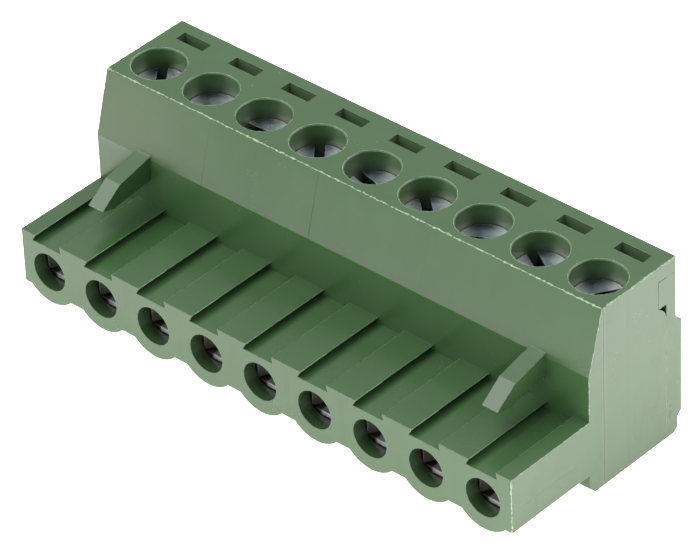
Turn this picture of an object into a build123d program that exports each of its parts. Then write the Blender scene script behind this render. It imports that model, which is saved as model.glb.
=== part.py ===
from build123d import *
import math
import os

os.makedirs("parts", exist_ok=True)

# Pluggable terminal block with a row of rising-clamp screw terminals, in millimetres.
# X runs along the row, -Y is the plug side with the pin holes and +Y the wire side. The base stands on
# Z = 0, with the origin in the middle of the block's length and depth. Every clamp stands open.

# Row
pitch = 5.08
poles = 9
row_length = pitch * poles

# Depths, from the plug side to the wire side
nose_length = 8.15
tower_depth = 8.25
cover_plate = 1.0
collar_depth = 0.6
depth = nose_length + tower_depth + cover_plate + collar_depth
front_y = -depth / 2
wall_y = front_y + nose_length
cover_y = wall_y + tower_depth
plate_y = cover_y + cover_plate
back_y = plate_y + collar_depth

# Nose: flat underside with a round lobe below each pin hole
nose_top = 6.27
nose_underside = 1.75
pin_height = 3.58
lobe_radius = 2.66
pin_hole_radius = 1.52
nose_wall = 1.15

# Coding groove over each pole: a dovetail, wider at its floor and more undercut on its left
groove_floor = 2.79
groove_depth = 0.54
groove_left_angle = 61
groove_right_angle = 79
groove_shift = 0.1

# Tower: upright front wall to the crease, then leaning back to the top
height = 15.0
crease_height = 10.04
tower_lean = 1.45
base_chamfer = 0.57
top_wall = 1.2

# Latch fingers that reach forward over the nose
finger_inset = 4.5
finger_width = 1.4
finger_reach = 5.05
finger_tip = 8.3
finger_barb = 0.35
finger_barb_length = 1.2
finger_catch = 0.4
finger_underside = 8.05
finger_root_underside = 8.45
finger_brow = 1.9
finger_brow_height = 9.65
finger_root_height = 10.6
finger_root = 0.9

# Clamp room of each pole, open to the wire side, with room for the wire to run in behind the cage
room_width = 4.2
room_floor = 0.8
run_in = 1.11

# Cage: floor under the wire, two sides and a threaded yoke
cage_gap = 0.1
cage_wall = 0.5
cage_floor = 0.8
cage_length = 6.0
cage_corner = 0.25
yoke_height = 1.9
yoke_gap = 0.3
wire_room = 2.9
travel = 2.5
roof_gap = 0.2
grip_groove = 0.3
grip_depth = 0.15
grip_spacing = 1.4

# Contact: current bar through the cage and two leaves for the pin in the nose
bar_thickness = 0.6
bar_gap = 0.1
contact_width = 3.4
web_length = 4.4
plate_gap = 0.1
leaf_gap = 0.1
leaf_thickness = 0.35
leaf_setback = 0.15
leaf_flare_length = 1.6
leaf_spring_length = 2.55
cheek_length = 2.4
pin_gap = 0.7
flare_spread = 0.95
cavity_drop = 1.5

# Screw
thread_radius = 1.5
thread_gap = 0.03
tip_gap = 0.02
shank_gap = 0.1
shoulder = 1.15
head_radius = 1.92
head_height = 2.05
head_edge = 0.15
head_gap = 0.075
well_rim = 0.08
seat_gap = 0.05
slot_width = 0.75
slot_depth = 0.9
slot_overrun = 1.0
slot_angles = [-53, 43, 3, -51, -14, -41, 29, -30, 58]

# Rear cover: plate, collar round the wire entries and a latch rail in the tower's back
rail_reach = 0.9
rail_low = 11.5
rail_gap = 0.05
ledge_round = 1.3
release_width = 2.6
release_length = 1.0
collar_low = 1.6
collar_high = 9.4
collar_lip = 0.4
collar_slope = 0.3
cover_toe = 0.35
entry_width = 2.9
entry_height = 2.6
funnel_width = 4.0
funnel_height = 3.0

# Heights of the clamp's pieces, stacked up from the room's floor
cage_low = room_floor + cage_gap
wire_low = cage_low + cage_floor
bar_low = wire_low + wire_room
bar_top = bar_low + bar_thickness
yoke_low = bar_top + yoke_gap
cage_top = yoke_low + yoke_height
room_roof = cage_top + travel + roof_gap
seat_height = room_roof + shoulder
head_low = seat_height + seat_gap
head_top = head_low + head_height
screw_tip = bar_top + tip_gap
rail_top = height - top_wall
room_length = cage_gap + cage_length + run_in
room_front = cover_y - room_length
screw_y = room_front + cage_gap + cage_length / 2
cage_width = room_width - 2 * cage_gap
cage_window = cage_width - 2 * cage_wall
cavity_floor = pin_height - cavity_drop
plate_low = cavity_floor + plate_gap
leaf_low = plate_low + leaf_thickness + leaf_gap
pole_places = [pitch * (n - (poles - 1) / 2) for n in range(poles)]
finger_places = [-row_length / 2 + finger_inset, row_length / 2 - finger_inset]


def across(x):
    """Plane facing along the row at x, with Y to the right and Z up."""
    return Plane.YZ.offset(x)


def facing_front(y):
    """Plane facing the plug side at y, with X to the right and Z up."""
    return Plane.XZ.offset(-y)


# Housing: nose and tower in one moulding
with BuildPart() as housing:
    # Nose: block and lobes, trimmed to the block's length
    with BuildSketch(facing_front(front_y)):
        with Locations((0, nose_underside)):
            Rectangle(row_length, nose_top - nose_underside, align=(Align.CENTER, Align.MIN))
        with Locations(*[(x, pin_height) for x in pole_places]):
            Circle(lobe_radius)
        Rectangle(row_length, 2 * nose_top, mode=Mode.INTERSECT)
    extrude(amount=-nose_length)

    # Coding grooves, open at the front and closed by the tower
    with BuildSketch(facing_front(front_y)):
        with Locations(*[(x - groove_shift, nose_top) for x in pole_places]):
            Trapezoid(
                groove_floor,
                groove_depth,
                groove_left_angle,
                groove_right_angle,
                align=(Align.CENTER, Align.MAX),
            )
    extrude(amount=-nose_length, mode=Mode.SUBTRACT)

    # Tower: chamfered toe, leaning front, and a ledge under the cover's latch rail
    with BuildSketch(across(0)):
        with BuildLine():
            ledge = TangentArc(
                (cover_y, rail_low - ledge_round),
                (cover_y - rail_reach, rail_low),
                tangent=(0, 1),
            )
            Polyline(
                ledge @ 1,
                (cover_y - rail_reach, rail_top),
                (plate_y, rail_top),
                (plate_y, height),
                (wall_y + tower_lean, height),
                (wall_y, crease_height),
                (wall_y, base_chamfer),
                (wall_y + base_chamfer, 0),
                (cover_y, 0),
                ledge @ 0,
            )
        make_face()
    extrude(amount=row_length / 2, both=True)

    # Latch fingers: brow, lead-in and barb, reaching forward from the tower's wall
    for x in finger_places:
        tip_y = wall_y - finger_reach
        barb_y = tip_y + finger_barb_length
        with BuildSketch(across(x)):
            with BuildLine():
                Polyline(
                    (tip_y, finger_tip),
                    (barb_y, finger_tip - finger_barb),
                    (barb_y + finger_catch, finger_underside),
                    (wall_y + finger_root, finger_root_underside),
                    (wall_y + finger_root, finger_root_height),
                    (wall_y, finger_root_height - finger_root * tower_lean / (height - crease_height)),
                    (tip_y + finger_brow, finger_brow_height),
                    (tip_y, finger_tip),
                )
            make_face()
        extrude(amount=finger_width / 2, both=True)

    # Clamp rooms
    with BuildSketch(Plane.XY.offset(room_floor)):
        with Locations(*[(x, cover_y) for x in pole_places]):
            Rectangle(room_width, room_length, align=(Align.CENTER, Align.MAX))
    extrude(amount=room_roof - room_floor, mode=Mode.SUBTRACT)

    # Contact cavities from the nose's front wall to the clamp rooms
    with BuildSketch(facing_front(front_y + nose_wall)):
        with Locations(*[(x, cavity_floor) for x in pole_places]):
            Rectangle(contact_width, bar_top - cavity_floor, align=(Align.CENTER, Align.MIN))
    extrude(amount=-(room_front - front_y - nose_wall), mode=Mode.SUBTRACT)

    # Pin holes
    with BuildSketch(facing_front(front_y)):
        with Locations(*[(x, pin_height) for x in pole_places]):
            Circle(pin_hole_radius)
    extrude(amount=-nose_wall, mode=Mode.SUBTRACT)

    # Screw wells with a chamfered rim and a seat under each head
    with BuildSketch(Plane.XY.offset(height)):
        with Locations(*[(x, screw_y) for x in pole_places]):
            Circle(head_radius + head_gap)
    extrude(amount=seat_height - height, mode=Mode.SUBTRACT)
    chamfer(edges().filter_by(GeomType.CIRCLE).group_by(Axis.Z)[-1], well_rim)
    with BuildSketch(Plane.XY.offset(seat_height)):
        with Locations(*[(x, screw_y) for x in pole_places]):
            Circle(thread_radius + shank_gap)
    extrude(amount=-shoulder, mode=Mode.SUBTRACT)

    # Release slots over the latch rail
    with BuildSketch(Plane.XY.offset(height)):
        with Locations(*[(x, cover_y) for x in pole_places]):
            Rectangle(release_width, release_length, align=(Align.CENTER, Align.MAX))
    extrude(amount=-top_wall, mode=Mode.SUBTRACT)

housing.part.label = "housing"
export_step(housing.part, "parts/housing.step")


# Rear cover: snaps on the tower's back and holds the clamps in
with BuildPart() as rear_cover:
    with BuildSketch(across(0)):
        with BuildLine():
            Polyline(
                (cover_y, 0),
                (plate_y - collar_lip / 2, 0),
                (plate_y + collar_lip / 2, cover_toe),
                (plate_y + collar_lip / 2, collar_low - collar_lip),
                (back_y, collar_low),
                (back_y, collar_high),
                (plate_y, collar_high + collar_slope),
                (plate_y, rail_top),
                (cover_y, rail_top),
                (cover_y, rail_top - rail_gap),
                (cover_y - rail_reach + rail_gap, rail_top - rail_gap),
                (cover_y - rail_reach + rail_gap, rail_low),
                (cover_y, rail_low),
                (cover_y, 0),
            )
        make_face()
    extrude(amount=row_length / 2, both=True)

    # Wire entries, each with a funnel that narrows to the clamp room
    for x in pole_places:
        with BuildSketch(facing_front(back_y)):
            with Locations((x, wire_low + (wire_room - entry_height) / 2)):
                Rectangle(funnel_width, funnel_height, align=(Align.CENTER, Align.MIN))
        with BuildSketch(facing_front(plate_y)):
            with Locations((x, wire_low + wire_room / 2)):
                Rectangle(entry_width, entry_height)
        loft(ruled=True, mode=Mode.SUBTRACT)
        with BuildSketch(facing_front(plate_y)):
            with Locations((x, wire_low + wire_room / 2)):
                Rectangle(entry_width, entry_height)
        extrude(amount=cover_plate, mode=Mode.SUBTRACT)

rear_cover.part.label = "rear_cover"
export_step(rear_cover.part, "parts/rear_cover.step")


# Clamping screws: slotted cheese head on a shank that bears on the current bar
for pole, x in enumerate(pole_places, start=1):
    axis_plane = Plane(origin=(x, screw_y, 0), x_dir=(1, 0, 0), z_dir=(0, -1, 0))
    slot_angle = math.radians(slot_angles[(pole - 1) % len(slot_angles)])
    slot_way = (math.cos(slot_angle), math.sin(slot_angle), 0)
    with BuildPart() as screw:
        with BuildSketch(axis_plane):
            with BuildLine():
                Polyline(
                    (0, screw_tip),
                    (thread_radius, screw_tip),
                    (thread_radius, head_low),
                    (head_radius, head_low),
                    (head_radius, head_top - head_edge),
                    (head_radius - head_edge, head_top),
                    (0, head_top),
                    (0, screw_tip),
                )
            make_face()
        revolve(axis=Axis((x, screw_y, 0), (0, 0, 1)))
        with BuildSketch(Plane(origin=(x, screw_y, head_top), x_dir=slot_way, z_dir=(0, 0, 1))):
            Rectangle(2 * head_radius + slot_overrun, slot_width)
        extrude(amount=-slot_depth, mode=Mode.SUBTRACT)
    screw.part.label = f"screw_{pole}"
    export_step(screw.part, f"parts/screw_{pole}.step")


# Cages: bent strip with a threaded yoke, which the screw draws up to grip the wire under the bar
for pole, x in enumerate(pole_places, start=1):
    with BuildPart() as cage:
        with BuildSketch(facing_front(screw_y - cage_length / 2)):
            with Locations((x, cage_low)):
                Rectangle(cage_width, cage_top - cage_low, align=(Align.CENTER, Align.MIN))
            chamfer(vertices(), cage_corner)
            with Locations((x, wire_low)):
                Rectangle(
                    cage_window,
                    yoke_low - wire_low,
                    align=(Align.CENTER, Align.MIN),
                    mode=Mode.SUBTRACT,
                )
        extrude(amount=-cage_length)

        # Threaded hole in the yoke
        with BuildSketch(Plane.XY.offset(cage_top)):
            with Locations((x, screw_y)):
                Circle(thread_radius + thread_gap)
        extrude(amount=-yoke_height, mode=Mode.SUBTRACT)

        # Grip grooves across the floor
        with BuildSketch(Plane.XY.offset(wire_low)):
            with Locations((x, screw_y)):
                with GridLocations(0, grip_spacing, 1, 3):
                    Rectangle(cage_window, grip_groove)
        extrude(amount=-grip_depth, mode=Mode.SUBTRACT)
    cage.part.label = f"cage_{pole}"
    export_step(cage.part, f"parts/cage_{pole}.step")


# Contacts: web seated under the cavity's roof, current bar behind it, two leaves in front and a floor plate
cheek_x = contact_width / 2 - leaf_thickness / 2
throat_x = pin_gap / 2 + leaf_thickness / 2
leaf_tip_y = front_y + nose_wall + leaf_setback
throat_y = leaf_tip_y + leaf_flare_length
spring_y = throat_y + leaf_spring_length
bar_width = cage_window - 2 * bar_gap
web_y = spring_y + cheek_length - web_length
for pole, x in enumerate(pole_places, start=1):
    with BuildPart() as contact:
        with BuildSketch(Plane.XY.offset(bar_low)):
            with Locations((x, spring_y + cheek_length)):
                Rectangle(contact_width, web_length, align=(Align.CENTER, Align.MAX))
            with Locations((x, cover_y)):
                Rectangle(bar_width, cover_y - web_y, align=(Align.CENTER, Align.MAX))
        extrude(amount=bar_thickness)
        with BuildSketch(Plane.XY.offset(leaf_low)):
            for side in (-1, 1):
                with BuildLine():
                    Polyline(
                        (x + side * (throat_x + flare_spread), leaf_tip_y),
                        (x + side * throat_x, throat_y),
                        (x + side * cheek_x, spring_y),
                        (x + side * cheek_x, spring_y + cheek_length),
                    )
                trace(line_width=leaf_thickness)
        extrude(amount=bar_low - leaf_low)
        with BuildSketch(across(x)):
            with BuildLine():
                Polyline(
                    (leaf_tip_y, plate_low),
                    (spring_y + cheek_length, plate_low),
                    (spring_y + cheek_length, leaf_low),
                    (spring_y, leaf_low),
                    (spring_y, plate_low + leaf_thickness),
                    (leaf_tip_y, plate_low + leaf_thickness),
                    (leaf_tip_y, plate_low),
                )
            make_face()
        extrude(amount=contact_width / 2, both=True)
    contact.part.label = f"contact_{pole}"
    export_step(contact.part, f"parts/contact_{pole}.step")
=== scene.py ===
import math

import bmesh
import bpy
import numpy as np
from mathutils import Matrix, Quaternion, Vector


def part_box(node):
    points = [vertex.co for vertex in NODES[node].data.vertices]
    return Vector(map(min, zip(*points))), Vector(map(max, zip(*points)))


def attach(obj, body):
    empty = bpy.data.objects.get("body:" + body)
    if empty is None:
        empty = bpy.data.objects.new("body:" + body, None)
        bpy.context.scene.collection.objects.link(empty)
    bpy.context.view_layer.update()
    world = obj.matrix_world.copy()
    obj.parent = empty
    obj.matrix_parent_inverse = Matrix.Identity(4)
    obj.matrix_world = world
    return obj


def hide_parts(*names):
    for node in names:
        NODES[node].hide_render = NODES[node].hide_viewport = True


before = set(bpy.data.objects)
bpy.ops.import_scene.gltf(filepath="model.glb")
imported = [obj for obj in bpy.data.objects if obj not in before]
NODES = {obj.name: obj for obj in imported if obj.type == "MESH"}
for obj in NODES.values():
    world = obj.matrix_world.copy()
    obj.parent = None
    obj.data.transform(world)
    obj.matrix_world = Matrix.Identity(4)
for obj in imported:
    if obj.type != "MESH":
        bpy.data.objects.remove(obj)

bl_info = {
    "name": "Pluggable terminal block",
    "version": (1, 0, 0),
    "blender": (4, 5, 0),
    "location": "View3D > Sidebar > Terminal block",
    "description": "Finishes, threaded screws and mould flash of a row of rising-clamp screw terminals",
    "category": "Object",
}

MM = 0.001
PITCH = 5.08 * MM
POLES = sorted(int(name.split("_")[1]) for name in NODES if name.startswith("screw_"))
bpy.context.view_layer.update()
LOW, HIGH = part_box("housing")
SCREW_LOW, SCREW_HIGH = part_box("screw_1")
WELL_Y = (SCREW_LOW.y + SCREW_HIGH.y) / 2

# Places on the mouldings, as the part's source has them
WALL_Y = -0.85 * MM             # upright wall behind the nose
LEAN_Y = 0.6 * MM               # top edge of the tower's leaning front
CREASE = 10.04 * MM             # height where the wall starts to lean
NOSE_TOP = 6.27 * MM
NOSE_UNDERSIDE = 1.75 * MM
PIN_HEIGHT = 3.58 * MM
GROOVE_LIP = -1.195 * MM        # a coding groove's left lip, from its pole's middle

# Masks of parts of the mouldings' surface, each as the two places between which it changes
END_SKIN = (HIGH.x - 0.04 * MM, HIGH.x - 0.02 * MM)
TOP_SKIN = (14.90 * MM, 14.97 * MM)
NOSE_FRONT = (LOW.y + 0.02 * MM, LOW.y + 0.04 * MM)
LEAN_BACK = (1.1 * MM, 1.3 * MM)
LEAN_FOOT = (9.0 * MM, 10.5 * MM)
TIP_BACK = (-4.1 * MM, -3.95 * MM)
TIP_FOOT = (7.5 * MM, 7.7 * MM)
WELL_WALL = (2.02 * MM, 2.10 * MM)
WELL_FLOOR = (9.0 * MM, 9.5 * MM)
DEEP_IN_WELL = (13.4 * MM, 14.4 * MM)
PIN_HOLE_WALL = (1.54 * MM, 1.6 * MM)
DEEP_IN_PIN_HOLE = (LOW.y + 0.3 * MM, LOW.y + 1.2 * MM)

# A well's left back, as its direction along X and Y
LEFT_BACK = (-0.68, 0.73)

# Lines and marks that the mould left on the ends and the front
HAIR = 0.06 * MM
INSERT_LINE_Y = 0.66 * MM
# Height of a painted highlight beside the insert line
INSERT_HIGHLIGHT_Y = 0.90 * MM
CORE_LINE_Y = 3.3 * MM
PARTING_LINE_Z = 3.5 * MM
PARTING_ENDS_Y = (-2.4 * MM, -2.2 * MM)
SEAM_FROM_MIDDLE = PITCH / 2 - 0.12 * MM
# X and strength of each weld line
WELD_LINES = ((-2.56 * MM, 0.70), (-12.75 * MM, 0.35), (-8.3 * MM, 0.20), (7.7 * MM, 0.20))
# Y, Z, narrowing, inner and outer radius and strength of each gate mark
GATE_MARKS = (
    (7.70 * MM, 1.95 * MM, 1.6, 0.20 * MM, 0.45 * MM, 0.5),
    (7.75 * MM, 2.65 * MM, 1.0, 0.06 * MM, 0.20 * MM, 0.6),
)

# Colours in linear light
# Painted warm highlight on the left of the leaning front
WARM_PAINTED_HIGHLIGHT = (0.55, 0.46, 0.42, 1.0)
# Painted shade at the left back of the screw wells
WELL_PAINTED_SHADE = (0.022, 0.026, 0.018, 1.0)
# Painted brown reflection of the screw heads on the wells' walls
WELL_PAINTED_REFLECTION = (0.155, 0.140, 0.105, 1.0)
# Painted light on the screw wells' walls
WELL_PAINTED_LIGHT = (0.17, 0.25, 0.14, 1.0)
PIN_HOLE_SHADE = (0.020, 0.020, 0.014, 1.0)
# Painted light on the release slots' walls
SLOT_PAINTED_LIGHT = (0.31, 0.40, 0.25, 1.0)
SCUFFED_ZINC = (0.86, 0.87, 0.86, 1.0)
# Painted bow-tie highlight on the screw heads
ZINC_PAINTED_SHEEN = (0.86, 0.90, 0.90, 1.0)
# Painted shade low in the screw slots
SLOT_PAINTED_SHADE = (0.020, 0.018, 0.014, 1.0)
# Worn bare edges of the screws, with painted glint
BARE_EDGE_AND_GLINT = (0.92, 0.93, 0.93, 1.0)
# Painted highlight on the contacts low in the pin holes
PAINTED_GLINT_METAL = (0.93, 0.96, 0.98, 1.0)
SHEARED_EDGE = (0.62, 0.60, 0.56, 1.0)
NICKEL_GRIME = (0.30, 0.27, 0.22)
TIN_GRIME = (0.09, 0.088, 0.075)
PAPER = (0.82, 0.82, 0.82)
TABLE_GLOW = (1.0, 0.97, 0.91)

POLYAMIDE_IOR = 1.53
# Direction of the painted bow-tie highlight across the heads
PAINTED_SHEEN_WAY = (0.73, 0.68, 0.0)
RING_SPACING_MM = 0.09

# How each screw's slot lies, in degrees from the row, as the part's source has them
SLOT_ANGLES = [-53, 43, 3, -51, -14, -41, 29, -30, 58]
THREAD_INTO_HEAD = 0.1 * MM
TIP_CHAMFER = 0.35 * MM
SHARP_ANGLE = math.radians(55)
GROOVE_FLASH_LENGTH = 2.8 * MM
RIM_FLASH_RADIUS = 2.08 * MM

# Direction of each soft light in the studio, and the cosines where it starts and is full
LIGHTS = {
    "over": ((-0.42, -0.14, 0.90), 0.86, 0.97),
    "behind": ((0.62, 0.45, 0.64), 0.86, 0.97),
    "front_wall": ((-0.20, -0.85, 0.50), 0.35, 0.90),
    "back_wall": ((0.10, 0.85, 0.50), 0.35, 0.90),
}
FLOOR_HEIGHT = -0.02 * MM
TABLE_FADE = (0.04, 0.12)       # reaches in metres between which the table's light fades
TABLE_RIGHT = (0.01, 0.04)      # X in metres between which the right side's light comes in
SENSOR_WIDTH = 36.0


class MouldingStyle(bpy.types.PropertyGroup):
    """Finish of the green mouldings"""

    green: bpy.props.FloatVectorProperty(
        name="Green", description="Colour of the moulded polyamide", subtype="COLOR", size=3,
        default=(0.040, 0.094, 0.033), min=0, max=1)
    # Also the colour of the painted highlights on edges and by the insert line
    pale: bpy.props.FloatVectorProperty(
        name="Pale edge", description="Colour where an edge is stressed or worn",
        subtype="COLOR", size=3, default=(0.36, 0.48, 0.33), min=0, max=1)
    roughness: bpy.props.FloatProperty(
        name="Roughness", description="Roughness of the moulded skin", default=0.25, min=0, max=1,
        subtype="FACTOR")
    edge_round: bpy.props.FloatProperty(
        name="Edge rounding", description="Radius that the edges seem to have", default=0.07 * MM,
        min=0, unit="LENGTH")
    grain: bpy.props.FloatProperty(
        name="Grain", description="Size of the skin's fine grain", default=0.16 * MM, min=1e-6,
        unit="LENGTH")


class ScrewStyle(bpy.types.PropertyGroup):
    """Sizes and finish of the clamping screws"""

    zinc: bpy.props.FloatVectorProperty(
        name="Zinc", description="Colour of the blue zinc plating", subtype="COLOR", size=3,
        default=(0.33, 0.43, 0.47), min=0, max=1)
    head_height: bpy.props.FloatProperty(
        name="Head height", description="Height of the cheese head", default=2.05 * MM, min=0,
        unit="LENGTH")
    slot_width: bpy.props.FloatProperty(
        name="Slot width", description="Width of the head's slot", default=0.75 * MM, min=0,
        unit="LENGTH")
    slot_depth: bpy.props.FloatProperty(
        name="Slot depth", description="Depth of the head's slot", default=0.9 * MM, min=0,
        unit="LENGTH")
    edge_round: bpy.props.FloatProperty(
        name="Edge rounding", description="Rounding of the head's edges", default=0.09 * MM,
        min=0, unit="LENGTH")
    thread_radius: bpy.props.FloatProperty(
        name="Thread radius", description="Outer radius of the thread", default=1.49 * MM, min=0,
        unit="LENGTH")
    thread_pitch: bpy.props.FloatProperty(
        name="Thread pitch", description="Advance of the thread in one turn", default=0.5 * MM,
        min=1e-6, unit="LENGTH")
    thread_depth: bpy.props.FloatProperty(
        name="Thread depth", description="Height of a thread's crest over its root",
        default=0.29 * MM, min=0, unit="LENGTH")


class ContactStyle(bpy.types.PropertyGroup):
    """Finish of the contacts and cages"""

    tin: bpy.props.FloatVectorProperty(
        name="Tin", description="Colour of the tinned contacts", subtype="COLOR", size=3,
        default=(0.19, 0.185, 0.165), min=0, max=1)
    nickel: bpy.props.FloatVectorProperty(
        name="Nickel", description="Colour of the plated cages", subtype="COLOR", size=3,
        default=(0.58, 0.55, 0.49), min=0, max=1)


class FlashStyle(bpy.types.PropertyGroup):
    """Ragged mould flash left along the outer edges"""

    radius: bpy.props.FloatProperty(
        name="Bead", description="Usual radius of the bead of flash", default=0.042 * MM, min=0,
        unit="LENGTH")
    ragged: bpy.props.FloatProperty(
        name="Raggedness", description="How much the bead's radius changes along an edge",
        default=0.100 * MM, min=0, unit="LENGTH")
    step: bpy.props.FloatProperty(
        name="Step", description="Distance between the bead's rings", default=0.05 * MM,
        min=1e-6, unit="LENGTH")
    seed: bpy.props.IntProperty(
        name="Seed", description="Seed of the raggedness", default=7, min=0)


class StageStyle(bpy.types.PropertyGroup):
    """Camera, floor and light"""

    place: bpy.props.FloatVectorProperty(
        name="Camera", description="Where the camera stands", subtype="XYZ", size=3,
        unit="LENGTH", default=(0.21619, -0.22995, 0.23895))
    aim: bpy.props.FloatVectorProperty(
        name="Aim", description="Point in the middle of the picture", subtype="XYZ", size=3,
        unit="LENGTH", default=(0.0000967, 0.0004454, 0.0073529))
    roll: bpy.props.FloatProperty(
        name="Roll", description="Turn of the camera about its own axis",
        default=math.radians(-2.447), subtype="ANGLE")
    lens: bpy.props.FloatProperty(
        name="Lens", description="Focal length on a sensor 36 mm wide", default=288.73, min=1,
        subtype="DISTANCE_CAMERA")
    floor_glow: bpy.props.FloatProperty(
        name="Floor glow", description="Light that the white table gives off", default=1.34,
        min=0)
    floor_right: bpy.props.FloatProperty(
        name="Floor glow on the right", description="More light from the table's right side",
        default=1.13, min=0)
    floor_radius: bpy.props.FloatProperty(
        name="Floor radius", description="Radius of the round white table", default=1.6, min=0.1,
        unit="LENGTH")
    sky: bpy.props.FloatProperty(
        name="Sky", description="Light from all round", default=0.10, min=0)
    over: bpy.props.FloatProperty(
        name="Overhead", description="Light of the soft source overhead on the left",
        default=3.5, min=0)
    behind: bpy.props.FloatProperty(
        name="Behind", description="Light of the soft source behind on the right", default=1.5,
        min=0)
    front_wall: bpy.props.FloatProperty(
        name="Front wall", description="Light of the wide bright wall in front", default=1.5,
        min=0)
    back_wall: bpy.props.FloatProperty(
        name="Back wall", description="Light of the wide bright wall behind", default=1.1, min=0)


class Value:
    """A node's output that is worked with like a number: the operators add Math nodes."""

    def __init__(self, finish, socket):
        self.finish = finish
        self.socket = socket

    def worked(self, operation, *terms):
        return self.finish.number_math(operation, *terms)

    def __add__(self, other):
        return self.worked("ADD", self, other)

    __radd__ = __add__

    def __sub__(self, other):
        return self.worked("SUBTRACT", self, other)

    def __rsub__(self, other):
        return self.worked("SUBTRACT", other, self)

    def __mul__(self, other):
        return self.worked("MULTIPLY", self, other)

    __rmul__ = __mul__

    def __truediv__(self, other):
        return self.worked("DIVIDE", self, other)

    def __rtruediv__(self, other):
        return self.worked("DIVIDE", other, self)

    def __abs__(self):
        return self.worked("ABSOLUTE", self)


class Finish:
    """A tree of shader nodes. One method adds any node and gives back its output as a Value."""

    def __init__(self, tree):
        self.tree = tree

    def node(self, kind, settings=None, sockets=None, output=0):
        """Adds a node, makes its settings, then fills its sockets with numbers or links."""
        made = self.tree.nodes.new(kind)
        for name, setting in (settings or {}).items():
            setattr(made, name, setting)
        for key, value in (sockets or {}).items():
            if isinstance(value, Value):
                self.tree.links.new(value.socket, made.inputs[key])
            else:
                made.inputs[key].default_value = value
        return Value(self, made.outputs[output])

    def number_math(self, operation, *terms):
        """A Math node on numbers or Values."""
        return self.node("ShaderNodeMath", {"operation": operation}, dict(enumerate(terms)))

    def vector_math(self, operation, sockets, output="Vector"):
        """A Vector Math node."""
        return self.node("ShaderNodeVectorMath", {"operation": operation}, sockets, output)

    def place(self):
        """Object coordinates, which are the part's own frame in metres."""
        return self.node("ShaderNodeTexCoord", output="Object")

    def split(self, vector):
        """The X, Y and Z of a vector."""
        x = self.node("ShaderNodeSeparateXYZ", {}, {0: vector}, "X")
        made = x.socket.node
        return x, Value(self, made.outputs["Y"]), Value(self, made.outputs["Z"])

    def attribute(self, name, output):
        """A value that the mesh carries at each point."""
        return self.node("ShaderNodeAttribute", {"attribute_name": name}, {}, output)

    def stretched(self, vector, scale):
        """A place with each of its directions scaled."""
        return self.node("ShaderNodeMapping", {}, {"Vector": vector, "Scale": scale}, "Vector")

    def noise(self, vector, size, detail=2.0, roughness=0.5):
        """Cloudy noise from 0 to 1 whose clouds are about size metres."""
        return self.node("ShaderNodeTexNoise", {}, {
            "Vector": vector, "Scale": 1 / size, "Detail": detail, "Roughness": roughness}, "Fac")

    def wrapped(self, value, half):
        """Way from the nearest whole multiple of twice half."""
        return self.number_math("WRAP", value, half, -half)

    def length(self, first, second):
        """Length of the vector that has these two legs."""
        return self.number_math("SQRT", first * first + second * second)

    def reach(self, vector):
        """Length of a vector."""
        return self.vector_math("LENGTH", {0: vector}, "Value")

    def ease(self, value, start, end):
        """0 below start, 1 above end and a soft rise between them."""
        return self.node("ShaderNodeMapRange", {"interpolation_type": "SMOOTHSTEP"}, {
            "Value": value, "From Min": start, "From Max": end}, "Result")

    def fall(self, value, start, end):
        """1 below start, 0 above end and a soft fall between them."""
        return 1 - self.ease(value, start, end)

    def hairline(self, value, at, width):
        """1 where a coordinate equals at, falling to 0 within width of it."""
        return self.fall(abs(value - at), 0.0, width)

    def near_edge(self, distance, samples):
        """0 within a face and up to 1 beside an outward edge, where the solid's inside is thin."""
        settings = {"inside": True, "only_local": True, "samples": samples}
        return 1 - self.node("ShaderNodeAmbientOcclusion", settings, {"Distance": distance}, "AO")

    # In a Mix node, socket 0 is the factor, vectors use sockets 4 and 5 and output 1, and
    # colours use sockets 6 and 7 and output 2

    def between(self, factor, first, second):
        """Direction between two directions."""
        mixed = self.node("ShaderNodeMix", {"data_type": "VECTOR"}, {
            0: factor, 4: first, 5: second}, 1)
        return self.vector_math("NORMALIZE", {0: mixed})

    def mix(self, factor, first, second):
        """Colour between two colours."""
        return self.node("ShaderNodeMix", {"data_type": "RGBA"}, {
            0: factor, 6: first, 7: second}, 2)

    def layered(self, colour, *layers):
        """A colour with others over it in turn, each as how much it covers and the colour."""
        for cover, over in layers:
            colour = self.mix(cover, colour, over)
        return colour

    def scaled(self, colour, factor):
        """A colour times a number."""
        return self.vector_math("SCALE", {0: colour, "Scale": factor})

    def towards(self, way, aim):
        """A direction times the unit one towards aim: its cosine, if it is a unit one too."""
        return self.vector_math("DOT_PRODUCT", {0: way, 1: Vector(aim).normalized()}, "Value")

    def bevelled(self, radius, samples):
        """Normal of a surface whose edges seem to be rounded."""
        return self.node("ShaderNodeBevel", {"samples": samples}, {"Radius": radius}, "Normal")

    def bump(self, height, distance, normal):
        """Normal of a surface whose height, 0 to 1, stands for distance metres."""
        return self.node("ShaderNodeBump", {}, {
            "Height": height, "Distance": distance, "Strength": 1.0, "Normal": normal}, "Normal")


def new_finish(name):
    """A material with an empty Principled shader, as the pair of its material and its Finish."""
    material = bpy.data.materials.new(name)
    material.use_nodes = True
    return material, Finish(material.node_tree)


def dress(finish, **sockets):
    """Fills the material's own Principled shader with numbers or links."""
    shader = finish.tree.nodes["Principled BSDF"]
    for name, value in sockets.items():
        target = shader.inputs[name.replace("_", " ")]
        if isinstance(value, Value):
            finish.tree.links.new(value.socket, target)
        else:
            target.default_value = value


def rgba(colour, share=1.0):
    """A share of a colour, with full alpha."""
    return (*(share * channel for channel in colour), 1.0)


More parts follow.
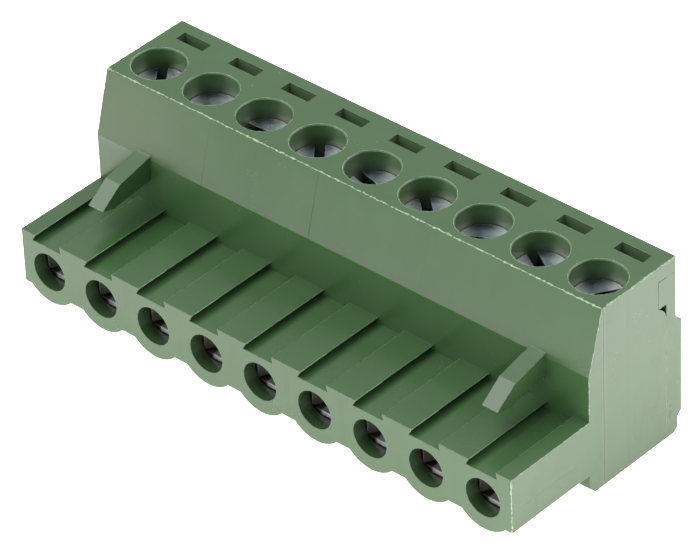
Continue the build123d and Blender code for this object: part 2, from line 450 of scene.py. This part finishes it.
def mould_lines(f, x, y, z, end, front):
    """Lines sunk in the skin: insert edge, parting line and gate marks on the ends, and weld
    lines between the poles on the leaning front."""
    insert = f.hairline(y, INSERT_LINE_Y, 0.09 * MM) * end
    parting = f.hairline(z, PARTING_LINE_Z, HAIR) * end * f.fall(y, *PARTING_ENDS_Y)
    weld = front * sum(f.hairline(x, at, HAIR) * strength for at, strength in WELD_LINES)
    gates = end * sum(
        f.fall(f.length((y - at_y) * narrowing, z - at_z), inner, outer) * strength
        for at_y, at_z, narrowing, inner, outer, strength in GATE_MARKS)
    return insert * 0.85 + parting * 0.5 + weld + gates


def colour_marks(f, place, y, across, clouds, end):
    """Dark marks in the colour alone: flow marks and a core's line on the ends, and broken
    seams between the pin holes on the nose's front."""
    flow = f.noise(f.stretched(place, (1.0, 1.0, 0.5)), 4 * MM, 2, 0.5)
    flow = f.hairline(flow, 0.52, 0.02) * end
    core = f.hairline(y, CORE_LINE_Y, 0.2 * MM) * end
    seam = f.hairline(abs(across), SEAM_FROM_MIDDLE, 0.07 * MM) * f.fall(y, *NOSE_FRONT)
    return flow * 0.14 + core * 0.10 + seam * f.ease(clouds, 0.40, 0.55) * 0.22


def moulded_polyamide(style):
    """Green polyamide: cloudy colour, fine grain, mould lines, pale ragged edges of wear and painted
    highlight and soft gloss, painted shade and painted reflection in the screw wells, painted shade in
    the pin holes and on the latch fingers' tips, painted light in the release slots and a painted warm
    highlight on the left of the leaning front."""
    material, f = new_finish("green_polyamide")
    place = f.place()
    x, y, z = f.split(place)
    across = f.wrapped(x, PITCH / 2)
    along = y - WELL_Y

    clouds = f.noise(place, 6 * MM, 3, 0.6)
    mottle = f.noise(place, 1.6 * MM, 2, 0.5)
    streaks = f.noise(f.stretched(place, (1.0, 1.0, 0.16)), 0.9 * MM, 3, 0.55)
    grain = f.noise(place, style.grain, 2, 0.6)
    smear = f.noise(f.stretched(place, (0.5, 1.0, 1.0)), 3 * MM, 3, 0.65)

    # The flat ends, the flat top, the tower's leaning front and the latch fingers' tips
    end = f.ease(abs(x), *END_SKIN)
    top = f.ease(z, *TOP_SKIN)
    front = f.fall(y, *LEAN_BACK) * f.ease(z, *LEAN_FOOT) * (1 - top)
    tips = f.fall(y, *TIP_BACK) * f.ease(z, *TIP_FOOT)

    beside_edge = f.near_edge(1.6 * style.edge_round, 8)
    ragged = f.ease(f.noise(place, 0.35 * MM, 3, 0.7), 0.42, 0.62)
    # Pale ragged edges: wear, and a painted highlight along the outward edges
    wear_and_highlight = f.ease(beside_edge, 0.2, 0.6) * (0.25 + 0.75 * ragged)
    lines = mould_lines(f, x, y, z, end, front)
    marks = colour_marks(f, place, y, across, clouds, end)
    # Painted highlight along the insert line on the ends
    insert_highlight = f.hairline(y, INSERT_HIGHLIGHT_Y, 0.10 * MM) * end * 0.06
    dots = f.node("ShaderNodeTexVoronoi", {}, {"Vector": place, "Scale": 1 / (1.4 * MM)},
                  "Distance")
    dust = f.fall(dots, 0.025, 0.045) * 0.4 * top
    # Painted warm highlight on the left of the leaning front
    lean_highlight = front * f.fall(x, -21 * MM, -8 * MM) * f.ease(y, -1.0 * MM, -0.9 * MM)

    # Painted shade and painted reflection in the screw wells, darker low down. back is 1 at a well's
    # left back, where the painted shade is darkest, and -1 opposite, where the walls get a painted
    # brown reflection of the heads and painted light.
    from_axis = f.length(across, along)
    back = (LEFT_BACK[1] * along + LEFT_BACK[0] * across) / from_axis
    well = f.ease(z, *WELL_FLOOR) * f.fall(from_axis, *WELL_WALL)
    deep = f.fall(z, *DEEP_IN_WELL)
    film = f.ease(f.noise(f.stretched(place, (1.0, 1.0, 0.4)), 1.1 * MM, 3, 0.6), 0.25, 0.75)
    well_shade_and_reflection = f.mix(f.fall(back, 0.75, 0.97) * (0.4 + 0.6 * film), WELL_PAINTED_SHADE, WELL_PAINTED_REFLECTION)
    # Painted light on the wells' walls, least at the left back
    well_light_share = 0.10 + 0.40 * f.fall(back, 0.70, 0.96)

    # Pin holes with painted shade, darker further in, and release slots with painted light on their
    # walls
    bore = f.fall(f.length(across, z - PIN_HEIGHT), *PIN_HOLE_WALL)
    far = f.ease(y, *DEEP_IN_PIN_HOLE)
    slot = (f.ease(y, 6.35 * MM, 6.45 * MM) * f.fall(y, 7.5 * MM, 7.52 * MM)
            * f.fall(abs(across), 1.32 * MM, 1.34 * MM)
            * f.ease(z, 13.5 * MM, 13.7 * MM) * f.fall(z, 14.85 * MM, 14.97 * MM))

    tone = 0.81 + 0.22 * clouds + 0.10 * mottle + 0.08 * (streaks - 0.5) + 0.10 * (grain - 0.5)
    green = f.layered(
        # Base tone, with painted shade on the latch fingers' tips, 12% darker
        f.scaled(style.green[:], tone * (1 - 0.12 * tips)),
        # Painted highlight by the insert line, and dust on the top
        (insert_highlight + dust, rgba(style.pale)),
        # Painted warm highlight on the leaning front
        (lean_highlight * 0.07, WARM_PAINTED_HIGHLIGHT),
        # Wear and painted highlight on the outward edges
        (wear_and_highlight * 0.30, rgba(style.pale)),
        (lines + marks, rgba(style.green, 0.35)),
        # Painted shade and painted reflection in the wells, darker low down
        (well * deep * 0.8, well_shade_and_reflection),
        # Painted light on the wells' walls
        (well * well_light_share, WELL_PAINTED_LIGHT),
        (bore * (0.25 + 0.62 * far), PIN_HOLE_SHADE),
        # Painted light in the release slots
        (slot * 0.18, SLOT_PAINTED_LIGHT),
    )
    gloss = (style.roughness + 0.10 * (smear - 0.5) + 0.06 * (grain - 0.5) + 0.10 * wear_and_highlight
             - 0.10 * well)

    flat = f.node("ShaderNodeNewGeometry", output="Normal")
    rounded = f.between(f.ease(beside_edge, 0.15, 0.4), flat, f.bevelled(style.edge_round, 6))
    skin = f.bump(grain + 0.6 * f.noise(place, 0.7 * MM, 2), 0.0035 * MM, rounded)
    skin = f.bump(1 - lines, 0.02 * MM, skin)
    skin = f.bump(f.noise(place, 4.5 * MM, 1), 0.02 * MM, skin)
    dress(f, Base_Color=green, Roughness=gloss, Normal=skin, IOR=POLYAMIDE_IOR)
    return material


def flash_polyamide(style):
    """Thin torn flash: paler than the moulding and duller."""
    material, f = new_finish("pale_flash")
    torn = f.noise(f.place(), 0.2 * MM, 3, 0.7)
    greener = [0.7 * green + 0.3 * pale for green, pale in zip(style.green, style.pale)]
    pale = f.mix(f.ease(torn, 0.3, 0.6), rgba(greener), rgba(style.pale))
    dress(f, Base_Color=pale, Roughness=0.45 + 0.3 * torn, IOR=POLYAMIDE_IOR)
    return material


def zinc_plate(style):
    """Blue zinc on steel: turned rings and a painted bow-tie highlight on the head with painted shade
    across its middle, small dull patches, scuffs, a fine crystalline grain, bright edges of wear and
    painted glint and painted shade low in the slot.
    The mesh carries each point's way from the screw's axis in millimetres and its depth below the top."""
    material, f = new_finish("zinc_plate")
    place = f.place()
    from_axis = f.attribute("from_axis", "Vector")
    below_top = f.attribute("below_top", "Fac")
    rings = f.number_math("SINE", f.reach(from_axis) * (2 * math.pi / RING_SPACING_MM))
    patches = f.noise(place, 0.9 * MM, 3, 0.6)
    crystals = f.noise(place, 0.12 * MM, 3, 0.7)
    scuffs = f.noise(f.stretched(place, (1.0, 0.25, 1.0)), 0.2 * MM, 3, 0.7)
    scuffs = f.ease(scuffs, 0.55, 0.75)
    # Painted bow-tie highlight across the head
    painted_sheen = f.ease(abs(f.towards(from_axis, PAINTED_SHEEN_WAY)), 0.3, 1.5)
    # Painted shade low in the slot, by depth below the head's top
    slot_shade = f.ease(below_top, 0.1 * MM, 0.7 * MM) * f.fall(below_top, 1.0 * MM, 1.2 * MM)
    # Bright edges: wear and painted glint
    edge = f.ease(f.near_edge(0.12 * MM, 6), 0.2, 0.6)
    edge = edge * f.ease(f.noise(place, 0.5 * MM, 2), 0.35, 0.6)
    metal = f.layered(
        f.mix(f.ease(patches, 0.3, 0.75), rgba(style.zinc, 0.62), rgba(style.zinc)),
        (scuffs * 0.35, SCUFFED_ZINC),
        # Painted shade across the head's middle, then the painted bow-tie highlight
        (0.60 * (1 - painted_sheen), rgba(style.zinc, 0.32)),
        (0.70 * painted_sheen, ZINC_PAINTED_SHEEN),
        # Painted shade low in the slot
        (slot_shade * 0.92, SLOT_PAINTED_SHADE),
        (edge * 0.8, BARE_EDGE_AND_GLINT),
    )
    gloss = 0.22 + 0.18 * patches + 0.10 * (crystals - 0.5) - 0.08 * scuffs
    skin = f.bump(0.5 + 0.5 * rings, 0.008 * MM, f.bevelled(0.04 * MM, 4))
    skin = f.bump(crystals, 0.006 * MM, skin)
    dress(f, Base_Color=metal, Metallic=1.0, Roughness=gloss, Normal=skin)
    return material


def plated_strip(name, colour, grime, glint_below):
    """Plated sheet metal: rolled streaks, a dull film and sheared edges. Below the given height it has
    a painted highlight from a little left of each pole's middle to the pole's right side."""
    material, f = new_finish(name)
    place = f.place()
    x, _, z = f.split(place)
    rolled = f.noise(f.stretched(place, (1.0, 0.08, 1.0)), 0.12 * MM, 3, 0.6)
    film = f.noise(place, 1.4 * MM, 3, 0.6)
    edge = f.ease(f.near_edge(0.09 * MM, 6), 0.1, 0.6)
    # Painted highlight low down, right of each pole's middle
    glint_patch = f.ease(f.wrapped(x, PITCH / 2), -0.75 * MM, -0.45 * MM)
    glint_patch = glint_patch * f.fall(z, glint_below - 0.3 * MM, glint_below)
    metal = f.layered(
        f.mix(f.ease(film, 0.35, 0.75), rgba(colour), rgba(grime)),
        (glint_patch * 0.9, PAINTED_GLINT_METAL),
        (edge * 0.2, SHEARED_EDGE),
    )
    gloss = 0.30 + 0.20 * film + 0.12 * (rolled - 0.5) - 0.06 * edge + 0.12 * glint_patch
    skin = f.bump(rolled, 0.004 * MM, f.bevelled(0.05 * MM, 4))
    dress(f, Base_Color=metal, Metallic=1.0, Roughness=gloss, Normal=skin)
    return material


def white_table(style):
    """White glowing table, a little uneven. It glows most to the right of the part and fades
    outwards."""
    material, f = new_finish("white_table")
    place = f.place()
    x = f.split(place)[0]
    soft = f.noise(place, 0.12, 2)
    fade = 1 - 0.72 * f.ease(f.reach(place), *TABLE_FADE)
    right = style.floor_right * f.ease(x, *TABLE_RIGHT)
    paper = f.scaled(PAPER, (0.97 + 0.06 * soft) * fade)
    glow = f.scaled(TABLE_GLOW, fade * (style.floor_glow + right))
    dress(f, Base_Color=paper, Roughness=0.7, Emission_Color=glow, Emission_Strength=1.0)
    return material


def put_finish(obj, material):
    """Gives every material slot of an object the one material."""
    if not obj.material_slots:
        obj.data.materials.append(material)
    for slot in obj.material_slots:
        slot.material = material


def grid_faces(rows, columns, first):
    """Quads of a grid of points stored row by row, with its numbering starting at first."""
    corner = np.arange((rows - 1) * columns).reshape(rows - 1, columns)[:, :-1] + first
    quads = np.stack([corner, corner + 1, corner + columns + 1, corner + columns], -1)
    return quads.reshape(-1, 4)


def surface(name, grids, material, smooth=True):
    """Mesh object of grids of points, each an array of rows, columns and XYZ."""
    points = np.concatenate([grid.reshape(-1, 3) for grid in grids])
    faces = []
    first = 0
    for grid in grids:
        rows, columns = grid.shape[:2]
        faces.append(grid_faces(rows, columns, first))
        first += rows * columns
    mesh = bpy.data.meshes.new(name)
    mesh.from_pydata(points, [], np.concatenate(faces).tolist())
    mesh.polygons.foreach_set("use_smooth", np.full(len(mesh.polygons), smooth))
    obj = bpy.data.objects.new(name, mesh)
    bpy.context.scene.collection.objects.link(obj)
    put_finish(obj, material)
    return obj


def clean(obj, distance=1e-7):
    """Merges doubled points, drops the faces that had no width and turns the shell outwards."""
    made = bmesh.new()
    made.from_mesh(obj.data)
    bmesh.ops.remove_doubles(made, verts=made.verts, dist=distance)
    bmesh.ops.dissolve_degenerate(made, edges=made.edges, dist=distance)
    bmesh.ops.recalc_face_normals(made, faces=made.faces)
    made.to_mesh(obj.data)
    made.free()


def repeated(column, count):
    """A column of numbers repeated side by side."""
    return np.repeat(column[:, None], count, 1)


def slotted_head(radius, low, top, slot_width, slot_depth):
    """Cheese head as grids. Across the slot the height steps from top to the slot's floor and
    back. A point of the flat faces is u across and v times the square root of radius squared less
    u squared along, with v from -1 to 1, so that v = -1 and v = 1 run round the rim and carry the
    side walls down to low."""
    side_rows, floor_rows, columns, wall_columns = 18, 7, 19, 4
    half = slot_width / 2
    turn = np.arcsin(half / radius)
    left = -radius * np.sin(np.linspace(np.pi / 2, turn, side_rows))
    u = np.concatenate([left, np.linspace(-half, half, floor_rows), -left[::-1]])
    level = np.full(len(u), top)
    level[side_rows:side_rows + floor_rows] = top - slot_depth
    reach = np.sqrt(np.maximum(radius ** 2 - u ** 2, 0))
    along = reach[:, None] * np.sin(np.linspace(-np.pi / 2, np.pi / 2, columns))
    across = repeated(u, columns)
    face = np.stack([across, along, repeated(level, columns)], -1)
    under = np.stack([across, along, np.full_like(across, low)], -1)
    down = np.linspace(0, 1, wall_columns)
    wall_z = level[:, None] * (1 - down) + low * down
    walls = [
        np.stack([repeated(u, wall_columns), repeated(sign * reach, wall_columns), wall_z], -1)
        for sign in (-1, 1)]
    return [face, under] + walls


def thread(radius, depth, pitch, low, top, chamfer):
    """Screw thread as one grid. The radius at angle t and height z is the outer one less depth
    times how far the point is from the crest of a right-hand helix, 0 on the crest and 1 at the
    root, and no more than the chamfer at the tip allows. The crest's middle is where
    z / pitch - t / 2 pi is a half more than a whole number. Rows of no radius close both ends."""
    points_round, rows_a_turn, flank_slope, crest_flat = 41, 10, 2.6, 0.25
    angle = np.linspace(0, 2 * np.pi, points_round)
    height = np.linspace(low, top, int((top - low) / pitch * rows_a_turn) + 1)
    t, z = np.meshgrid(angle, height)
    phase = (z / pitch - t / (2 * np.pi)) % 1.0
    away = np.clip(np.abs(phase - 0.5) * flank_slope - crest_flat, 0, 1)
    r = np.minimum(radius - depth * away, radius - chamfer + (z - low))
    points = np.stack([r * np.cos(t), r * np.sin(t), z], -1)
    tip, cap = [np.stack([0 * angle, 0 * angle, 0 * angle + z_end], -1)[None]
                for z_end in (low, top)]
    return np.concatenate([tip, points, cap])


def turned(grid, angle, centre):
    """Grid turned by an angle about the upright axis through centre."""
    c, s = np.cos(angle), np.sin(angle)
    flat = grid[..., :2] @ np.array([[c, s], [-s, c]])
    return np.concatenate([flat + np.array(centre), grid[..., 2:]], -1)


def bead(path, width, seed, step):
    """Ragged bead of flash as a grid: rings of four points, up, out, down and in, carried along a
    path. A ring's radius is the first width plus the second one times smoothed random amounts,
    with a torn burst here and there, and none at the two ends. The path itself wanders a little
    sideways and up by smoothed random amounts of its own."""
    usual, ragged = width
    path = np.asarray(path, float)
    legs = np.linalg.norm(np.diff(path, axis=0), axis=1)
    run = np.concatenate([[0], np.cumsum(legs)])
    stations = np.linspace(0, run[-1], max(int(run[-1] / step), 4))
    line = np.stack([np.interp(stations, run, path[:, i]) for i in range(3)], -1)
    count = len(stations)

    draw = np.random.default_rng(seed)
    soft = [0.2, 0.6, 1.0, 0.6, 0.2]
    burst_chance = 0.06
    rough = np.convolve(draw.standard_normal(count + 4), soft, "valid") / 1.3
    burst = np.convolve(draw.random(count + 6) > 1 - burst_chance, np.hanning(7), "valid")
    size = usual + ragged * np.clip(0.20 * rough + 0.40 * burst, -0.25, 1.0)
    size = np.clip(size, 0.3 * usual, None)
    size[0] = size[-1] = 0
    stray_side, stray_up = [
        np.convolve(draw.standard_normal(count + 10), np.hanning(11) / 2, "valid")[:, None]
        for _ in range(2)]

    ahead = np.gradient(line, axis=0)
    ahead /= np.linalg.norm(ahead, axis=1)[:, None]
    helper = np.where(np.abs(ahead[:, 2:]) > 0.9, [[1.0, 0, 0]], [[0, 0, 1.0]])
    side = np.cross(ahead, helper)
    side /= np.linalg.norm(side, axis=1)[:, None]
    up = np.cross(side, ahead)
    line += 0.35 * usual * (stray_side * side + stray_up * up)
    ring = np.stack([up, side, -up, -side, up], 1)
    return line[:, None] + ring * size[:, None, None]


def flash_edges(style):
    """Each edge with flash as its name, its bead's widths and its path, in the order that their
    seeds are given out."""
    full = (style.radius, style.ragged)
    slight = (0.5 * style.radius, 0.3 * style.ragged)
    faint = (0.35 * style.radius, 0.15 * style.ragged)
    end, top, nose = HIGH.x, HIGH.z, LOW.y
    edges = {
        "tower_front": (full, [(-end, LEAN_Y, top), (end, LEAN_Y, top)]),
        "tower_left": (slight, [(-end, LEAN_Y, top), (-end, HIGH.y, top)]),
        "tower_right": (full, [(end, LEAN_Y, top), (end, HIGH.y, top)]),
        "corner_left": (faint, [
            (-end, LEAN_Y, top), (-end, WALL_Y, CREASE), (-end, WALL_Y, NOSE_TOP)]),
        "corner_right": (slight, [
            (end, LEAN_Y, top), (end, WALL_Y, CREASE), (end, WALL_Y, NOSE_TOP)]),
        "nose_left": (faint, [(-end, nose, NOSE_TOP), (-end, WALL_Y, NOSE_TOP)]),
        "nose_right": (slight, [(end, nose, NOSE_TOP), (end, WALL_Y, NOSE_TOP)]),
        "nose_corner": (full, [(end, nose, NOSE_TOP), (end, nose, NOSE_UNDERSIDE)]),
    }
    points_round = 97
    turn = np.linspace(0, 2 * np.pi, points_round)
    rim = RIM_FLASH_RADIUS
    for pole in POLES:
        middle = PITCH * (pole - (len(POLES) + 1) / 2)
        lip = middle + GROOVE_LIP
        edges[f"groove_{pole}"] = (faint, [
            (lip, nose, NOSE_TOP), (lip, nose + GROOVE_FLASH_LENGTH, NOSE_TOP)])
        edges[f"well_{pole}"] = (faint, np.stack([
            middle + rim * np.cos(turn), WELL_Y + rim * np.sin(turn), 0 * turn + top], -1))
    return edges


class BLOCK_OT_mouldings(bpy.types.Operator):
    """Give the housing and the rear cover their moulded finish"""

    bl_idname = "terminal_block.mouldings"
    bl_label = "Mouldings"

    def execute(self, context):
        skin = moulded_polyamide(context.scene.moulding_style)
        for name in ("housing", "rear_cover"):
            put_finish(NODES[name], skin)
        return {"FINISHED"}


class BLOCK_OT_screws(bpy.types.Operator):
    """Make the clamping screws with slotted heads and real threads"""

    bl_idname = "terminal_block.screws"
    bl_label = "Clamping screws"

    def execute(self, context):
        style = context.scene.screw_style
        plate = zinc_plate(style)
        for pole in POLES:
            low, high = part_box(f"screw_{pole}")
            centre = ((low.x + high.x) / 2, (low.y + high.y) / 2)
            radius = (high.x - low.x) / 2
            head_low = high.z - style.head_height
            head = slotted_head(radius, head_low, high.z, style.slot_width, style.slot_depth)
            shank = thread(style.thread_radius, style.thread_depth, style.thread_pitch, low.z,
                           head_low + THREAD_INTO_HEAD, TIP_CHAMFER)
            slot_turn = math.radians(SLOT_ANGLES[(pole - 1) % len(SLOT_ANGLES)] - 90)
            grids = [turned(grid, slot_turn, centre) for grid in head + [shank]]
            screw = surface(f"clamp_screw_{pole}", grids, plate, smooth=False)
            clean(screw)

            points = np.empty(len(screw.data.vertices) * 3)
            screw.data.vertices.foreach_get("co", points)
            from_axis = (points.reshape(-1, 3) - np.array([*centre, 0])) / MM
            from_axis[:, 2] = 0
            carried = screw.data.attributes
            carried.new("from_axis", "FLOAT_VECTOR", "POINT")
            carried["from_axis"].data.foreach_set("vector", from_axis.ravel())
            carried.new("below_top", "FLOAT", "POINT")
            carried["below_top"].data.foreach_set("value", high.z - points[2::3])

            rounding = screw.modifiers.new("edge rounding", "BEVEL")
            rounding.width = style.edge_round
            rounding.segments = 2
            rounding.limit_method = "ANGLE"
            rounding.angle_limit = SHARP_ANGLE
            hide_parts(f"screw_{pole}")
            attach(screw, f"screw_{pole}")
        return {"FINISHED"}


class BLOCK_OT_cages(bpy.types.Operator):
    """Give the clamp cages their plated finish"""

    bl_idname = "terminal_block.cages"
    bl_label = "Cages"

    def execute(self, context):
        nickel = context.scene.contact_style.nickel
        plate = plated_strip("nickel_cage", nickel, NICKEL_GRIME, glint_below=0.0)
        for pole in POLES:
            put_finish(NODES[f"cage_{pole}"], plate)
        return {"FINISHED"}


class BLOCK_OT_contacts(bpy.types.Operator):
    """Give the contacts their tinned finish"""

    bl_idname = "terminal_block.contacts"
    bl_label = "Contacts"

    def execute(self, context):
        tin = context.scene.contact_style.tin
        plate = plated_strip("tinned_contact", tin, TIN_GRIME, glint_below=3.3 * MM)
        for pole in POLES:
            put_finish(NODES[f"contact_{pole}"], plate)
        return {"FINISHED"}


class BLOCK_OT_flash(bpy.types.Operator):
    """Lay ragged mould flash along the outer edges, the grooves' lips and the wells' rims"""

    bl_idname = "terminal_block.flash"
    bl_label = "Mould flash"

    def execute(self, context):
        style = context.scene.flash_style
        pale = flash_polyamide(context.scene.moulding_style)
        for number, (name, (width, path)) in enumerate(flash_edges(style).items()):
            ring_grid = bead(path, width, style.seed + number, style.step)
            torn = surface(f"flash_{name}", [ring_grid], pale)
            clean(torn)
            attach(torn, "block")
        return {"FINISHED"}


class BLOCK_OT_stage(bpy.types.Operator):
    """Set the white table, the soft light and the camera"""

    bl_idname = "terminal_block.stage"
    bl_label = "Stage"

    def execute(self, context):
        scene = context.scene
        style = scene.stage_style
        scene.view_settings.view_transform = "Standard"

        points_round, points_out = 65, 5
        angle, reach = np.meshgrid(
            np.linspace(0, 2 * np.pi, points_round),
            np.linspace(0, style.floor_radius, points_out))
        disc = np.stack([
            reach * np.cos(angle), reach * np.sin(angle), np.full_like(reach, FLOOR_HEIGHT)], -1)
        table = surface("white_table", [disc], white_table(style))
        clean(table)

        world = bpy.data.worlds.new("studio")
        world.use_nodes = True
        scene.world = world
        f = Finish(world.node_tree)
        way = f.node("ShaderNodeTexCoord", output="Generated")
        glow = sum((getattr(style, name) * f.ease(f.towards(way, aim), start, full)
                    for name, (aim, start, full) in LIGHTS.items()), style.sky)
        background = world.node_tree.nodes["Background"]
        background.inputs["Color"].default_value = (1.0, 1.0, 1.0, 1.0)
        world.node_tree.links.new(glow.socket, background.inputs["Strength"])

        lens = bpy.data.cameras.new("camera")
        lens.lens = style.lens
        lens.sensor_width = SENSOR_WIDTH
        lens.sensor_fit = "HORIZONTAL"
        lens.clip_start = 0.01
        camera = bpy.data.objects.new("camera", lens)
        place = Vector(style.place)
        look = (Vector(style.aim) - place).to_track_quat("-Z", "Y")
        camera.location = place
        camera.rotation_mode = "QUATERNION"
        camera.rotation_quaternion = look @ Quaternion((0, 0, 1), style.roll)
        scene.collection.objects.link(camera)
        scene.camera = camera
        return {"FINISHED"}


STYLES = {
    "moulding_style": MouldingStyle,
    "screw_style": ScrewStyle,
    "contact_style": ContactStyle,
    "flash_style": FlashStyle,
    "stage_style": StageStyle,
}
OPERATORS = (
    BLOCK_OT_mouldings,
    BLOCK_OT_screws,
    BLOCK_OT_cages,
    BLOCK_OT_contacts,
    BLOCK_OT_flash,
    BLOCK_OT_stage,
)


class BLOCK_PT_panel(bpy.types.Panel):
    """Lists the steps that make the terminal block's pieces"""

    bl_label = "Terminal block"
    bl_idname = "BLOCK_PT_panel"
    bl_space_type = "VIEW_3D"
    bl_region_type = "UI"
    bl_category = "Terminal block"

    def draw(self, context):
        for operator in OPERATORS:
            self.layout.operator(operator.bl_idname)
        for name, style in STYLES.items():
            box = self.layout.box()
            box.label(text=style.__doc__)
            for field in style.__annotations__:
                box.prop(getattr(context.scene, name), field)


def register():
    for style in STYLES.values():
        bpy.utils.register_class(style)
    for operator in OPERATORS:
        bpy.utils.register_class(operator)
    bpy.utils.register_class(BLOCK_PT_panel)
    for name, style in STYLES.items():
        setattr(bpy.types.Scene, name, bpy.props.PointerProperty(type=style))


def unregister():
    for name in STYLES:
        delattr(bpy.types.Scene, name)
    bpy.utils.unregister_class(BLOCK_PT_panel)
    for operator in OPERATORS:
        bpy.utils.unregister_class(operator)
    for style in STYLES.values():
        bpy.utils.unregister_class(style)


def main():
    register()
    bpy.ops.terminal_block.mouldings()
    bpy.ops.terminal_block.screws()
    bpy.ops.terminal_block.cages()
    bpy.ops.terminal_block.contacts()
    bpy.ops.terminal_block.flash()
    bpy.ops.terminal_block.stage()


if __name__ == "__main__":
    main()
